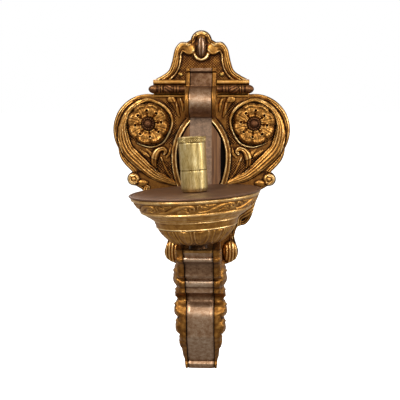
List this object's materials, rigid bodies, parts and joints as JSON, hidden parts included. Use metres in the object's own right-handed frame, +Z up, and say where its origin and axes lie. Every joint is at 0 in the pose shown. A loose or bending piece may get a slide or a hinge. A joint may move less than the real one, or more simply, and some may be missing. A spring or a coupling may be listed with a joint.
{
  "type": "wall sconce candle holder",
  "caption": "Gilt wall sconce: pierced cartouche plate with rosettes, scrolled bracket, turning drip cup and a lift-off brass candle socket.",
  "frame": {"origin": "on the back face of the wooden board, where it meets the wall, on the centre line and 181 mm above the foot of the bracket", "axes": "+Y into the wall, +Z up, +X to the right as one faces the sconce; the sconce stands out towards -Y"},
  "size_m": [0.1852, 0.158, 0.3587],
  "materials": {
    "gilt": "antiqued gilt brass",
    "bronze": "brown bronze, worn on the edges",
    "cover": "matt copper brown",
    "brass": "scratched bright brass",
    "steel": "dull",
    "wood": "dark stained"
  },
  "bodies": {
    "bracket": {"cartouche_plate": "gilt", "rosette_left": "gilt", "rosette_right": "gilt", "upper_cheek_left": "gilt", "upper_cheek_right": "gilt", "lower_cheek_left": "gilt", "lower_cheek_right": "gilt", "shelf_plate": "gilt", "plate_pin_1": "gilt", "plate_pin_2": "gilt", "plate_pin_3": "gilt", "plate_pin_4": "gilt", "upper_band": "bronze", "lower_band": "bronze", "crest_bead": "bronze", "cornice_roll_left": "bronze", "cornice_roll_right": "bronze", "rosette_pin_left": "bronze", "rosette_pin_right": "bronze", "centre_rod": "steel", "hanger_plate": "steel", "hanger_screw_1": "steel", "hanger_screw_2": "steel", "bracket_screw_top": "steel", "bracket_screw_bottom": "steel", "back_board": "wood", "bracket_core": "wood"},
    "cup": {"cup_bowl": "gilt", "cup_base": "gilt", "foot_ring": "bronze", "cup_cover": "cover", "bowl_nut": "steel", "socket_spigot": "brass"},
    "socket": {"candle_socket": "brass", "knurled_collar": "brass"}
  },
  "joints": [
    {"name": "cup_turn", "type": "hinge", "parent": "bracket", "child": "cup", "pos_m": [0, -0.095, -0.036], "axis": [-0.0576, 0, 0.9983], "continuous": true},
    {"name": "socket_lift", "type": "slide", "parent": "cup", "child": "socket", "axis": [-0.0576, 0, 0.9983], "range_m": [0, 0.06]}
  ]
}
